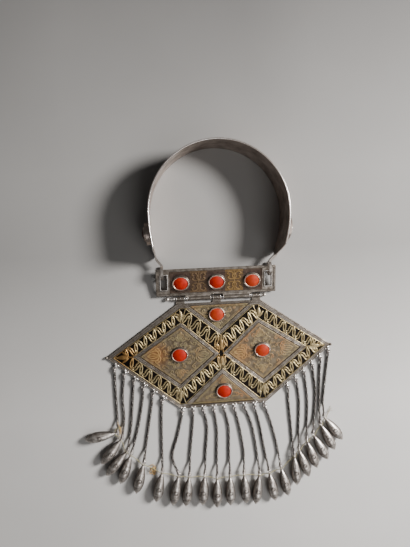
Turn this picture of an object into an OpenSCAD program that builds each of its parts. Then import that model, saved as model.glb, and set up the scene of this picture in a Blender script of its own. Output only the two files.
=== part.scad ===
// Turkmen chest ornament, laid out on its back.
// A silver collar hooks through the two slots of a stone-set bar. The bar is
// hinged to a six-sided chest plate, and twenty-one chains with almond drops
// hang from the plate's lower edges, their rings tied together by a thread.
// Millimetres. +Z is up, +Y points to the collar and -Y to the drops.

// Which piece to show, or all of them

/* [Chest plate] */
// half the width, from the middle to a side point
plate_half_w = 101; // [85:0.5:115]
// half the distance between the two upper corners
plate_top_half = 37.5; // [30:0.5:45]
// height of the upper corners over the side points
plate_top_y = 44; // [35:0.5:55]
// half the distance between the two lower corners
plate_low_half = 38.5; // [30:0.5:45]
// depth of the lower corners under the side points
plate_low_y = 49; // [40:0.5:60]
// thickness of the silver sheet
sheet_t = 1.2; // [0.8:0.1:2]
// height of the plain silver strips over the back
strip_h = 1.8; // [1.4:0.1:3]

/* [Stone settings] */
// length of the oval bezel
bezel_l = 14.8; // [10:0.1:18]
// width of the oval bezel
bezel_w = 12.6; // [8:0.1:16]
// wall of the bezel
bezel_t = 0.7; // [0.5:0.1:1.2]
// height of the bezel over the sheet's back
bezel_h = 3.4; // [2:0.1:5]
// height of the stone's dome over the sheet's back
stone_h = 4.9; // [3:0.1:7]

/* [Hinge] */
// height of the pin over the plate's upper edge
hinge_gap = 4.6; // [3.5:0.1:6]
// height of the pin over the surface that the plate lies on
hinge_z = 2.2; // [2.2:0.1:3]
// outer radius of the rolled barrels
barrel_r = 1.9; // [1.5:0.1:2.5]
// radius of the pin
pin_r = 0.85; // [0.5:0.05:1.2]
// room between the pin and the barrels
pin_gap = 0.3; // [0.1:0.05:0.5]

/* [Bar] */
// width of the bar
bar_w = 105.5; // [90:0.5:120]
// distance from the pin to the bar's lower edge
bar_low = 3.2; // [2.5:0.1:5]
// distance from the pin to the bar's upper edge
bar_top = 26.8; // [24:0.1:36]
// sideways place of the bar against the plate
bar_x = -2.2; // [-5:0.1:5]
// distance between the stones of the bar
bar_stone_step = 31.4; // [26:0.1:36]
// width of a hook slot
slot_w = 5.2; // [4:0.1:7]
// length of a hook slot
slot_l = 12.8; // [10:0.1:18]
// middle of a hook slot, from the middle of the bar
slot_x = 45.9; // [40:0.1:50]
// width of the rail that is left over each slot
rail_w = 5.2; // [3:0.1:6]

/* [Collar] */
// outer radius of the round part of the collar
collar_r = 58.7; // [50:0.1:65]
// middle of the round part, from the plate's middle
collar_y = 121.6; // [110:0.1:135]
// width of the band, which stands on its edge
collar_h = 32; // [20:1:40]
// thickness of the band
collar_t = 1.2; // [0.8:0.1:2]
// inner radius of a hook
hook_r = 5.2; // [3.5:0.1:6]
// thickness of a hook
hook_t = 1.4; // [1:0.1:2]
// width of a hook
hook_w = 2.2; // [1.6:0.1:3]
// diameter of the round plaque on each side of the band
plaque_d = 19.5; // [14:0.5:24]
// thickness of the round plaque
plaque_h = 3.6; // [2:0.1:5]

/* [Chains and drops] */
// radius of a chain
chain_r = 1.2; // [0.7:0.05:1.4]
// radius of the jump rings, to the middle of the wire
ring_r = 1.3; // [1:0.1:2]
// wire radius of the jump rings
ring_wire = 0.33; // [0.25:0.01:0.5]
// radius of the fixed loops, to the middle of the wire
loop_r = 1.5; // [1.2:0.1:2]
// wire radius of the fixed loops
loop_wire = 0.4; // [0.3:0.01:0.6]
// whole length of a drop with its loop
drop_l = 28.8; // [24:0.1:34]
// greatest radius of a drop
drop_r = 4.5; // [3.5:0.1:6]
// distance from the top of a drop to its widest place
drop_wide = 18.6; // [14:0.1:22]
// radius of the tying thread
thread_r = 0.35; // [0.2:0.05:0.6]

/* [Hidden] */
$fn = 0;
// brings the middle of the whole outline to the origin
place_x = 6.88;
place_y = -19.69;

silver = [0.72, 0.70, 0.67];
dark_silver = [0.5, 0.49, 0.47];
gilt = [0.62, 0.52, 0.35];
carnelian = [0.75, 0.16, 0.08];
cotton = [0.72, 0.64, 0.42];

hinge_y = plate_top_y + hinge_gap;
bore_r = pin_r + pin_gap;
rail_s = bar_top - rail_w / 2;
// the hooks rest on the ground and hold up the bar's upper edge
bar_tilt = asin((hook_r + hook_t + 0.05 - hinge_z) / rail_s);
rail_y = hinge_y + rail_s * cos(bar_tilt);
rail_z = hinge_z + rail_s * sin(bar_tilt);
stone_gap = 0.15;

// Corners of the plate's raised strips, for the right half: [x, y]
scroll_zone = [[95.7, -0.2], [35.3, 40.2], [-35.3, 40.2], [-95.7, -0.2], [-38.4, -45.5], [38.4, -45.5]];
rhomb_out = [[77.7, -0.7], [34.7, 27], [2, -2.1], [37.5, -31.4]];
rhomb_in = [[72.6, -0.7], [34.8, 24], [5.8, -2.1], [37.3, -27.9]];
top_out = [[-34, 43.3], [34, 43.3], [0, 15.4]];
top_in = [[-28.2, 42.3], [28.2, 42.3], [0, 19]];
low_out = [[-36.7, -48.5], [36.7, -48.5], [0.5, -16.2]];
low_in = [[-29.5, -46.9], [29.5, -46.9], [0.5, -19.8]];
// Places of the stones on the plate: [x, y]
stone_left = [-37.1, -1.2];
stone_right = [37.1, -1.2];
stone_top = [-2.7, 33.2];
stone_low = [1.3, -36];

// Barrels along the pin: [from x, to x]
plate_barrels = [[-38.4, -30.6], [-5.8, 1.6], [29.7, 37]];
bar_barrels = [[-29.8, -7.4], [3.4, 28.9]];
// Thick ring at the outer end of each of the bar's barrels
bead_l = 1.8;
bead_r = 2.1;
pin_from = -45.6;
pin_to = 40.6;

// Loops along the three lower edges: [edge, first place, step, count]
loop_rows = [["left", 10.8, 10.2, 6], ["low", -36.4, 9.25, 9], ["right", 54.7, -9.9, 6]];

// One row a chain: [first bend x, y, second bend x, y, drop top x, y, drop angle]
runs = [
    [-94.4, -28, -94, -52, -93.8, -65.7, -82.5],
    [-88.6, -36, -88.2, -54, -90.2, -70.5, -41.3],
    [-80, -38, -82.2, -60, -85.9, -81.6, -43.1],
    [-71.6, -40, -76.5, -64, -83, -84.5, -22.2],
    [-64, -46, -69.5, -76, -72.6, -93.5, -16.2],
    [-55.4, -54, -56.2, -80, -56.7, -102.5, -13.8],
    [-41.5, -72, -47.6, -92, -42.4, -107, -13.2],
    [-28.3, -66, -31.4, -90, -33.1, -108.4, -8.8],
    [-15.3, -68, -17.2, -88, -19.4, -108.9, -6.1],
    [-6.6, -72, -7.5, -92, -8.4, -111.9, -2.2],
    [4.1, -70, 3.6, -90, 3.2, -111.1, -0.9],
    [13.8, -70, 16.8, -92, 15.9, -110.6, 2.5],
    [25.3, -70, 28.6, -92, 30.2, -112.4, -9.3],
    [32.4, -70, 35.8, -92, 38.9, -111, 9.9],
    [43.2, -70, 47.6, -90, 49.6, -107.8, 13.1],
    [60, -52, 61.6, -76, 62.5, -98.2, 4.1],
    [69.8, -50, 68.6, -74, 66.7, -92.6, 18.5],
    [77.4, -48, 76.6, -68, 74.4, -85.1, 18.8],
    [85.2, -44, 83.4, -64, 80.3, -80, 28.5],
    [88.8, -44, 88.3, -58, 87.7, -71.2, 27],
    [93.6, -40, 91.8, -54, 91, -64.9, 36.8]
];

// Shapes that repeat

function mirrored(p) = [for (i = [len(p) - 1:-1:0]) [-p[i][0], p[i][1]]];
function unit(v) = v / norm(v);
function smooth(u) = u <= 0 ? 0 : u >= 1 ? 1 : u * u * (3 - 2 * u);

module place() {
    translate([place_x, place_y, 0]) children();
}

// A flat oval of the given length and width
module oval(l, w) {
    scale([1, w / l]) circle(d = l);
}

// An open bezel with its foot on the sheet
module bezel(foot = 0.4) {
    translate([0, 0, foot]) linear_extrude(bezel_h - foot) difference() {
        oval(bezel_l, bezel_w);
        oval(bezel_l - 2 * bezel_t, bezel_w - 2 * bezel_t);
    }
}

// A domed oval stone that stands in its bezel
module cabochon() {
    l = bezel_l - 2 * bezel_t - 2 * stone_gap;
    w = bezel_w - 2 * bezel_t - 2 * stone_gap;
    rise = 2;
    r = (l * l / 4 + rise * rise) / (2 * rise);
    intersection() {
        translate([0, 0, sheet_t + stone_gap]) linear_extrude(stone_h) oval(l, w);
        translate([0, 0, stone_h - r]) sphere(r);
    }
}

// A wire ring round the Z axis
module wire_ring(r, wire) {
    rotate_extrude() translate([r, 0]) circle(wire);
}

// A rolled barrel along X, from a to b
module barrel(a, b) {
    translate([a, 0, 0]) rotate([0, 90, 0]) cylinder(h = b - a, r = barrel_r);
}

module bore(a, b) {
    translate([a, 0, 0]) rotate([0, 90, 0]) cylinder(h = b - a, r = bore_r);
}

// The point of a smooth line through p, a share t of the way from point i to i + 1
function bend_at(p, i, t) =
    let (n = len(p) - 1, a = p[max(i - 1, 0)], b = p[i], c = p[min(i + 1, n)], d = p[min(i + 2, n)])
    0.5 * (2 * b + (c - a) * t + (2 * a - 5 * b + 4 * c - d) * t * t + (3 * b - a - 3 * c + d) * t * t * t);
function bend(p, steps) = concat([for (i = [0:len(p) - 2]) for (k = [0:steps - 1]) bend_at(p, i, k / steps)],
    [p[len(p) - 1]]);

// A tube of radius r along the points p, with eight sides
module tube(p, r, sides = 8) {
    n = len(p);
    rings = [for (i = [0:n - 1])
        let (t = unit(p[min(i + 1, n - 1)] - p[max(i - 1, 0)]), s = unit(cross(t, [0, 0, 1])), u = cross(s, t))
        for (k = [0:sides - 1]) p[i] + r * (cos(360 * k / sides) * s + sin(360 * k / sides) * u)];
    walls = [for (i = [0:n - 2]) for (k = [0:sides - 1])
        let (a = i * sides + k, b = i * sides + (k + 1) % sides) [a, b, b + sides, a + sides]];
    polyhedron(rings, concat([[for (k = [sides - 1:-1:0]) k]], walls,
        [[for (k = [0:sides - 1]) (n - 1) * sides + k]]));
}

// Chest plate

// Foot of loop i, as [x, y, outward x, outward y]
function edge_foot(side, t) =
    let (e = unit([plate_half_w - plate_low_half, plate_low_y]), s = side == "left" ? -1 : 1)
    side == "low" ? [t, -plate_low_y, 0, -1]
    : [s * (plate_half_w - t * e[0]), -t * e[1], s * e[1], -e[0]];
feet = [for (row = loop_rows) for (k = [0:row[3] - 1]) edge_foot(row[0], row[1] + k * row[2])];
loop_out = 1.2;
loop_z = 2;
function loop_mid(i) = [feet[i][0] + loop_out * feet[i][2], feet[i][1] + loop_out * feet[i][3], loop_z];

module plate_outline() {
    polygon([[plate_half_w, 0], [plate_top_half, plate_top_y], [-plate_top_half, plate_top_y],
        [-plate_half_w, 0], [-plate_low_half, -plate_low_y], [plate_low_half, -plate_low_y]]);
}

module chest_plate() {
    color(silver) place() difference() {
        union() {
            linear_extrude(sheet_t) plate_outline();
            linear_extrude(strip_h) difference() {
                plate_outline();
                difference() {
                    polygon(scroll_zone);
                    polygon(rhomb_out);
                    polygon(mirrored(rhomb_out));
                    polygon(top_out);
                    polygon(low_out);
                }
                polygon(rhomb_in);
                polygon(mirrored(rhomb_in));
                polygon(top_in);
                polygon(low_in);
            }
            for (s = [stone_left, stone_right, stone_top, stone_low]) translate(s) bezel();
            for (s = [-1, 1]) translate([s * 100.6, 0, 1.4]) sphere(1.3);
            for (i = [0:len(feet) - 1])
                translate(loop_mid(i)) rotate([0, 0, atan2(feet[i][3], feet[i][2])]) rotate([90, 0, 0])
                    wire_ring(loop_r, loop_wire);
            for (b = plate_barrels) {
                translate([0, hinge_y, hinge_z]) barrel(b[0], b[1]);
                translate([b[0], plate_top_y - 1, 0]) cube([b[1] - b[0], hinge_gap - 0.4, sheet_t]);
            }
        }
        translate([0, hinge_y, hinge_z]) bore(-45, 45);
    }
}

module plate_stone_left() { color(carnelian) place() translate(stone_left) cabochon(); }
module plate_stone_right() { color(carnelian) place() translate(stone_right) cabochon(); }
module plate_stone_top() { color(carnelian) place() translate(stone_top) cabochon(); }
module plate_stone_low() { color(carnelian) place() translate(stone_low) cabochon(); }

// Hinge pin

module hinge_pin() {
    color(dark_silver) place() translate([0, hinge_y, hinge_z]) {
        translate([pin_from, 0, 0]) rotate([0, 90, 0]) cylinder(h = pin_to - pin_from, r = pin_r);
        for (x = [pin_from, pin_to]) translate([x, 0, 0]) sphere(1.75);
        translate([-40, 0, 0]) sphere(1.5);
    }
}

// Bar, in a frame with the pin as its X axis and the bar's plane as XY

bar_under = -0.6;
bar_mid = (bar_low + bar_top) / 2 - 0.8;
slot_top = bar_top - rail_w;

module at_bar() {
    place() translate([0, hinge_y, hinge_z]) rotate([bar_tilt, 0, 0]) children();
}

module frame_strip(x0, y0, x1, y1, t) {
    difference() {
        translate([x0, y0]) square([x1 - x0, y1 - y0]);
        translate([x0 + t, y0 + t]) square([x1 - x0 - 2 * t, y1 - y0 - 2 * t]);
    }
}

module bar_plate() {
    rim = 1.1;
    color(silver) at_bar() difference() {
        union() {
            translate([bar_x - bar_w / 2, bar_low, bar_under]) cube([bar_w, bar_top - bar_low, sheet_t]);
            translate([0, 0, bar_under]) linear_extrude(strip_h)
                frame_strip(bar_x - bar_w / 2, bar_low, bar_x + bar_w / 2, bar_top, 1.8);
            for (s = [-1, 1]) translate([bar_x + s * slot_x, 0, bar_under]) linear_extrude(2.1)
                frame_strip(-slot_w / 2 - rim, slot_top - slot_l - rim, slot_w / 2 + rim, slot_top + rim, rim);
            for (k = [-1:1]) translate([bar_x + k * bar_stone_step, bar_mid, bar_under]) bezel();
            for (b = bar_barrels) {
                barrel(b[0], b[1]);
                translate([b[0], 1.5, bar_under]) cube([b[1] - b[0], bar_low - 0.5, sheet_t]);
            }
            for (x = [bar_barrels[0][0], bar_barrels[1][1] - bead_l])
                translate([x, 0, 0]) rotate([0, 90, 0]) cylinder(h = bead_l, r = bead_r);
        }
        bore(-45, 45);
        for (s = [-1, 1]) translate([bar_x + s * slot_x - slot_w / 2, slot_top - slot_l, -3])
            cube([slot_w, slot_l, 6]);
    }
}

module bar_stone(k) {
    color(carnelian) at_bar() translate([bar_x + k * bar_stone_step, bar_mid, bar_under]) cabochon();
}
module bar_stone_left() { bar_stone(-1); }
module bar_stone_middle() { bar_stone(0); }
module bar_stone_right() { bar_stone(1); }

// Collar

collar_x = 0.2;
taper_y = 94;
tongue_y = 82;
tongue_z = rail_z + 2.4;
tongue_h = 3.8;
end_y = 84;
hook_y = rail_y + hook_r + 0.2;
// Side curves of the band: [side, end x, hook x]
collar_ends = [[-1, -54.2, bar_x - slot_x - 1.2], [1, 51.2, bar_x + slot_x + 1.2]];

function band_low(y) = (tongue_z - tongue_h / 2) * (1 - smooth((y - tongue_y) / 5));
function band_top(y) = let (t = tongue_z + tongue_h / 2)
    t + (collar_h - t) * smooth((y - tongue_y) / (taper_y - tongue_y));

// Radius and sweep of the long side curve that ends at x, end_y, as round numbers
function side_angle(x) = round(200 * atan((collar_r - abs(x - collar_x)) / (collar_y - end_y))) / 100;
function side_radius(x) = round(100 * (collar_y - end_y) / sin(side_angle(x))) / 100;

// A slice of a round wall: outer radius r, from angle a over angle w
module wall_arc(r, a, w) {
    rotate([0, 0, a]) rotate_extrude(angle = w) translate([r - collar_t, 0]) square([collar_t, collar_h]);
}

// A flat strip of width w along the points p
module strip(p, w) {
    n = len(p) - 1;
    side = [for (i = [0:n]) let (t = unit(p[min(i + 1, n)] - p[max(i - 1, 0)])) [t[1], -t[0]]];
    polygon(concat([for (i = [0:n]) p[i] + side[i] * w / 2], [for (i = [n:-1:0]) p[i] - side[i] * w / 2]));
}

// Side view of the band, with its ends drawn in to the tongues
module band_side() {
    steps = 8;
    ys = [for (k = [0:steps]) tongue_y + (taper_y - tongue_y) * k / steps];
    translate([-90, 0, 0]) rotate([90, 0, 90]) linear_extrude(180) polygon(concat(
        [[tongue_y - 3, band_low(0)]], [for (y = ys) [y, band_low(y)]], [[200, 0], [200, collar_h]],
        [for (k = [steps:-1:0]) [ys[k], band_top(ys[k])]], [[tongue_y - 3, band_top(0)]]));
}

// Where the round plaque sits: on the long side curve, at its own height
plaque_y = 106;
function plaque_turn(x) = asin((collar_y - plaque_y) / side_radius(x));
module at_plaque(side, x) {
    r = side_radius(x);
    mid = collar_x + side * (collar_r - r);
    a = plaque_turn(x);
    translate([mid, collar_y, collar_h / 2]) rotate([0, 0, side > 0 ? -a : 180 + a]) translate([r, 0, 0])
        rotate([90, 0, 90]) children();
}

module collar_band() {
    color(dark_silver) place() {
        intersection() {
            union() {
                translate([collar_x, collar_y, 0]) wall_arc(collar_r, 0, 180);
                for (e = collar_ends) {
                    r = side_radius(e[1]);
                    a = side_angle(e[1]);
                    translate([collar_x + e[0] * (collar_r - r), collar_y, 0])
                        mirror([e[0] > 0 ? 1 : 0, 0, 0]) wall_arc(r, 180, a);
                }
            }
            band_side();
        }
        for (e = collar_ends) {
            // the tongue, from the band's end to the hook
            a = side_angle(e[1]);
            from = [e[1] - e[0] * collar_t / 2 * cos(a), end_y + 0.4];
            to = [e[2], hook_y];
            near = from - [e[0] * sin(a), cos(a)] * 2;
            translate([0, 0, tongue_z - tongue_h / 2]) linear_extrude(tongue_h)
                strip([for (k = [0:6]) let (t = k / 6) pow(1 - t, 3) * from + 3 * pow(1 - t, 2) * t * near
                    + 3 * (1 - t) * t * t * (to + [0, 1.6]) + pow(t, 3) * to], hook_w);
            // the hook, bent round the rail and ended with a bead
            translate([e[2], rail_y, rail_z]) rotate([90, 0, 90]) {
                rotate([0, 0, 14]) translate([0, 0, -hook_w / 2]) rotate_extrude(angle = 300)
                    translate([hook_r, 0]) square([hook_t, hook_w]);
                rotate([0, 0, 314]) translate([hook_r + hook_t / 2 + 0.2, 0, 0]) sphere(1.35);
            }
            // the round plaque with its bezel
            at_plaque(e[0], e[1]) {
                translate([0, 0, -0.7]) cylinder(h = plaque_h + 0.7, d = plaque_d);
                translate([0, 0, plaque_h - 0.4]) difference() {
                    cylinder(h = 1.8, d = 12.4);
                    translate([0, 0, 0.4]) cylinder(h = 3, d = 11);
                }
            }
        }
    }
}

module collar_stone(k) {
    r = 8.5;
    color(carnelian) place() at_plaque(collar_ends[k][0], collar_ends[k][1]) intersection() {
        translate([0, 0, plaque_h + stone_gap]) cylinder(h = 6, d = 11 - 2 * stone_gap);
        translate([0, 0, plaque_h + 2.9 - r]) sphere(r);
    }
}
module collar_stone_left() { collar_stone(0); }
module collar_stone_right() { collar_stone(1); }

// Chains and drops

floor_z = chain_r + 0.05;
drop_z = drop_r;
function drop_dir(i) = [sin(runs[i][6]), -cos(runs[i][6]), 0];
function drop_top(i) = [runs[i][4], runs[i][5], drop_z];
function drop_loop(i) = drop_top(i) + (loop_r + loop_wire) * drop_dir(i);
function first_bend(i) = [runs[i][0], runs[i][1], floor_z];
function last_bend(i) = [runs[i][2], runs[i][3], floor_z];
function flat(v) = [v[0], v[1], 0];
function way_out(i) = unit(flat(first_bend(i) - loop_mid(i)));
function way_back(i) = unit(flat(last_bend(i) - drop_top(i)));
function ring_top(i) = loop_mid(i) + loop_r * [feet[i][2], feet[i][3], 0] + 0.25 * way_out(i);
function ring_low(i) = drop_loop(i) - loop_r * drop_dir(i) + 0.25 * way_back(i);
ring_reach = ring_r + ring_wire + 0.15;

module chain(i) {
    a = ring_top(i) + ring_reach * way_out(i);
    b = ring_low(i) + ring_reach * way_back(i);
    flat_run = bend([flat(a), flat(first_bend(i)), flat(last_bend(i)), flat(b)], 4);
    n = len(flat_run) - 1;
    from_a = [for (p = flat_run) norm(p - flat(a))];
    from_b = [for (p = flat_run) norm(p - flat(b))];
    run = [for (k = [0:n]) flat_run[k] + [0, 0, floor_z + (loop_z - floor_z) * (1 - smooth(from_a[k] / 6))
        + (drop_z - floor_z) * (1 - smooth(from_b[k] / 11))]];
    color(dark_silver) place() {
        tube(run, chain_r);
        translate(ring_top(i)) wire_ring(ring_r, ring_wire);
        translate(ring_low(i)) wire_ring(ring_r, ring_wire);
    }
}

// Half of a drop's outline: an arc from the neck to the belly, another to the tip
drop_neck = 2 * (loop_r + loop_wire) - 0.6;
function arc_radius(l, inward) = (l * l + inward * inward) / (2 * inward);
function drop_radius(d) =
    let (up_r = arc_radius(drop_wide - drop_neck, drop_r - 0.9), low_r = arc_radius(drop_l - drop_wide, drop_r - 0.3),
        r = d < drop_wide ? up_r : low_r)
    drop_r - r + sqrt(r * r - (d - drop_wide) * (d - drop_wide));
module drop_half() {
    up = [for (k = [0:6]) drop_neck + (drop_wide - drop_neck) * k / 6];
    low = [for (k = [1:6]) drop_wide + (drop_l - drop_wide) * sin(15 * k)];
    polygon(concat([[0, drop_neck]], [for (d = concat(up, low)) [drop_radius(d), d]], [[0, drop_l]]));
}

module drop(i) {
    color(silver) place() translate(drop_top(i)) rotate([0, 0, runs[i][6]]) {
        rotate([90, 0, 0]) {
            rotate_extrude() drop_half();
            translate([0, 0, 2 * (loop_r + loop_wire) + 0.3]) sphere(1.15);
            translate([0, 0, drop_l - 0.85]) sphere(0.85);
        }
        translate([0, -loop_r - loop_wire, 0]) rotate([0, 90, 0]) wire_ring(loop_r, loop_wire);
    }
}

// Thread that ties the loops of the drops together

thread_in = 0.55;
// it runs straight through each loop and sags between two of them
function thread_at(i) = drop_loop(i) + thread_in * drop_dir(i);
function thread_way(i) = 1.1 * [cos(runs[i][6]), sin(runs[i][6]), 0];
thread_run = concat([[-91.5, -62.4, 5.6], [-93.6, -60.8, 6], [-95.7, -62.6, 5.3]],
    [for (i = [0:len(runs) - 1]) for (k = [0:i < len(runs) - 1 ? 2 : 1])
        k < 2 ? thread_at(i) + (2 * k - 1) * thread_way(i)
        : (thread_at(i) + thread_way(i) + thread_at(i + 1) - thread_way(i + 1)) / 2 - [0, 0, 1.2]],
    [[95.4, -64.6, 2.4], [97.6, -61.8, 1]]);

module tie_thread() {
    color(cotton) place() tube(bend(thread_run, 2), thread_r);
}
module thread_knot() {
    color(cotton) place() translate([-91.75, -64.4, 3.1]) scale([0.82, 3.4, 2.2]) sphere(1);
}
module thread_tangle() {
    color(cotton) place() translate([-65.4, -102.6, 1.4]) scale([2.7, 5.4, 1.3]) sphere(1);
}

module chain_01() { chain(0); }
module chain_02() { chain(1); }
module chain_03() { chain(2); }
module chain_04() { chain(3); }
module chain_05() { chain(4); }
module chain_06() { chain(5); }
module chain_07() { chain(6); }
module chain_08() { chain(7); }
module chain_09() { chain(8); }
module chain_10() { chain(9); }
module chain_11() { chain(10); }
module chain_12() { chain(11); }
module chain_13() { chain(12); }
module chain_14() { chain(13); }
module chain_15() { chain(14); }
module chain_16() { chain(15); }
module chain_17() { chain(16); }
module chain_18() { chain(17); }
module chain_19() { chain(18); }
module chain_20() { chain(19); }
module chain_21() { chain(20); }
module drop_01() { drop(0); }
module drop_02() { drop(1); }
module drop_03() { drop(2); }
module drop_04() { drop(3); }
module drop_05() { drop(4); }
module drop_06() { drop(5); }
module drop_07() { drop(6); }
module drop_08() { drop(7); }
module drop_09() { drop(8); }
module drop_10() { drop(9); }
module drop_11() { drop(10); }
module drop_12() { drop(11); }
module drop_13() { drop(12); }
module drop_14() { drop(13); }
module drop_15() { drop(14); }
module drop_16() { drop(15); }
module drop_17() { drop(16); }
module drop_18() { drop(17); }
module drop_19() { drop(18); }
module drop_20() { drop(19); }
module drop_21() { drop(20); }

chest_plate();
plate_stone_left();
plate_stone_right();
plate_stone_top();
plate_stone_low();
hinge_pin();
bar_plate();
bar_stone_left();
bar_stone_middle();
bar_stone_right();
collar_band();
collar_stone_left();
collar_stone_right();
chain_01();
chain_02();
chain_03();
chain_04();
chain_05();
chain_06();
chain_07();
chain_08();
chain_09();
chain_10();
chain_11();
chain_12();
chain_13();
chain_14();
chain_15();
chain_16();
chain_17();
chain_18();
chain_19();
chain_20();
chain_21();
drop_01();
drop_02();
drop_03();
drop_04();
drop_05();
drop_06();
drop_07();
drop_08();
drop_09();
drop_10();
drop_11();
drop_12();
drop_13();
drop_14();
drop_15();
drop_16();
drop_17();
drop_18();
drop_19();
drop_20();
drop_21();
tie_thread();
thread_knot();
thread_tangle();
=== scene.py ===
"""Turkmen chest ornament, lying on a pale floor. Metres, in the frame of the CAD model."""
import math
import random

import bpy
import numpy as np
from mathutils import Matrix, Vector


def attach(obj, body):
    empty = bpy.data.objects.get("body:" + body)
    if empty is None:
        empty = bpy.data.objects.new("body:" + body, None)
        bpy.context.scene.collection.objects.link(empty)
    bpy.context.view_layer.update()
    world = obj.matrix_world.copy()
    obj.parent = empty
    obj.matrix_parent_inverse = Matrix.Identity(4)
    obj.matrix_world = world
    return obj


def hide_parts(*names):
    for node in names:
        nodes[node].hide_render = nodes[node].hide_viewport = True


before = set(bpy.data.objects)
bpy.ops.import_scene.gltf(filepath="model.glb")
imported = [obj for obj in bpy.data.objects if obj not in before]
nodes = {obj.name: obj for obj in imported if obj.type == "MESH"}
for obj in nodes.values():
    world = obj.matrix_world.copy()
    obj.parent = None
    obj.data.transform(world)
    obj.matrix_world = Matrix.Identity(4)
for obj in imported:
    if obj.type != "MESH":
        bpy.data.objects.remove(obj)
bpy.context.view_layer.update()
MM = 0.001

# The plate's middle, the hinge, the bar and its hooks, in millimetres as in the CAD model
PLACE = np.array([6.88, -19.69, 0.0])
HINGE_Y, HINGE_Z = 48.6, 2.2
BAR_X, BAR_FAR, RAIL_WIDE = -2.2, 26.8, 5.2
HOOK_R, HOOK_T, GAP = 5.2, 1.4, 0.05
RAIL_S = BAR_FAR - RAIL_WIDE / 2
TILT = math.asin((HOOK_R + HOOK_T + GAP - HINGE_Z) / RAIL_S)
RAIL_Z = HINGE_Z + RAIL_S * math.sin(TILT)


def v3(*p):
    return np.array(p, float)


def unit(v):
    return v / np.linalg.norm(v)


# Camera
SENSOR = 36
FOCAL_PX, PICTURE_HIGH_PX = 444, 547
CAMERA_AT = (-47.85, 88.19, 390.92)
CAMERA_TURN = (-2.473, -5.436, -2.391)

cam_data = bpy.data.cameras.new("camera")
cam_data.sensor_fit = "VERTICAL"
cam_data.sensor_height = SENSOR
cam_data.lens = SENSOR * FOCAL_PX / PICTURE_HIGH_PX
cam_data.clip_start = 0.01
camera = bpy.data.objects.new("camera", cam_data)
camera.location = (v3(*CAMERA_AT) + PLACE) * MM
camera.rotation_euler = [math.radians(a) for a in CAMERA_TURN]
bpy.context.collection.objects.link(camera)
bpy.context.scene.camera = camera

# Mesh helpers


class Shape:
    """Collects parts of a mesh, in millimetres of the plate's frame, with a tint for each point."""

    def __init__(self):
        self.v, self.f, self.tint, self.n = [], [], [], 0

    def add(self, verts, faces, tint=0.0):
        verts = np.asarray(verts, float)
        self.v.append(verts)
        self.f.extend([tuple(i + self.n for i in f) for f in faces])
        self.tint.append(np.full(len(verts), tint) if np.isscalar(tint) else np.asarray(tint, float))
        self.n += len(verts)

    def make(self, name, body, mat, slot):
        """The mesh as an object that rides on a body."""
        me = bpy.data.meshes.new(name)
        me.from_pydata([tuple(p) for p in (np.vstack(self.v) + PLACE) * MM], [], self.f)
        me.validate()
        values = np.concatenate(self.tint).astype(np.float32)
        me.attributes.new("tint", "FLOAT", "POINT").data.foreach_set("value", values)
        me.polygons.foreach_set("use_smooth", [True] * len(me.polygons))
        me.materials.append(mat)
        o = bpy.data.objects.new(name, me)
        bpy.context.collection.objects.link(o)
        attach(o, body)
        return o


def frames(path, closed=False):
    """Tangent, side and up along a path, with up kept as near to Z as it goes."""
    p = np.asarray(path, float)
    if closed:
        t = np.roll(p, -1, 0) - np.roll(p, 1, 0)
    else:
        t = np.vstack([p[1] - p[0], p[2:] - p[:-2], p[-1] - p[-2]])
    t /= np.linalg.norm(t, axis=1)[:, None]
    side = np.cross(t, [0, 0, 1.0])
    thin = np.linalg.norm(side, axis=1) < 0.05
    side[thin] = np.cross(t[thin], [0, 1.0, 0])
    side /= np.linalg.norm(side, axis=1)[:, None]
    return p, t, side, np.cross(side, t)


def skin(rows, sides, closed=False):
    """Faces between rows of points, each a ring."""
    f = []
    for i in range(rows if closed else rows - 1):
        j = (i + 1) % rows
        for k in range(sides):
            m = (k + 1) % sides
            f.append((i * sides + k, i * sides + m, j * sides + m, j * sides + k))
    return f


def caps(rows, sides):
    """Faces over the first and the last row."""
    return [tuple(range(sides - 1, -1, -1)), tuple((rows - 1) * sides + k for k in range(sides))]


def tube(path, radius, sides=8, closed=False, lobes=0, twist=0.0, flat=1.0):
    """Vertices and faces of a tube along a path, with plies if lobes is given."""
    p, t, s, u = frames(path, closed)
    n = len(p)
    run = np.concatenate([[0], np.cumsum(np.linalg.norm(np.diff(p, axis=0), axis=1))])
    radius = np.full(n, radius) if np.isscalar(radius) else np.asarray(radius, float)
    a = np.arange(sides) * 2 * math.pi / sides
    r = radius[:, None] * np.ones(sides)
    if lobes:
        r = r * (0.8 + 0.2 * np.abs(np.cos(lobes / 2 * (a[None, :] - twist * run[:, None]))))
    rings = p[:, None] + r[..., None] * (np.cos(a)[None, :, None] * s[:, None]
                                         + flat * np.sin(a)[None, :, None] * u[:, None])
    return rings.reshape(-1, 3), skin(n, sides, closed) + ([] if closed else caps(n, sides))


def ring(centre, normal, r, wire, major=18, minor=8, squash=1.0, along=None):
    """A wire ring, as long as squash times its width along a direction."""
    n = unit(np.asarray(normal, float))
    x = np.cross(n, [0, 0, 1.0]) if along is None else np.asarray(along, float) - n * np.dot(n, along)
    if np.linalg.norm(x) < 1e-6:
        x = np.cross(n, [0, 1.0, 0])
    x = unit(x)
    y = np.cross(n, x)
    a = np.arange(major) * 2 * math.pi / major
    path = centre + r * (squash * np.cos(a)[:, None] * x + np.sin(a)[:, None] * y)
    out = np.cos(a)[:, None] * x + np.sin(a)[:, None] * y
    b = np.arange(minor) * 2 * math.pi / minor
    v = path[:, None] + wire * (np.cos(b)[None, :, None] * out[:, None] + np.sin(b)[None, :, None] * n)
    return v.reshape(-1, 3), skin(major, minor, True)


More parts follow.
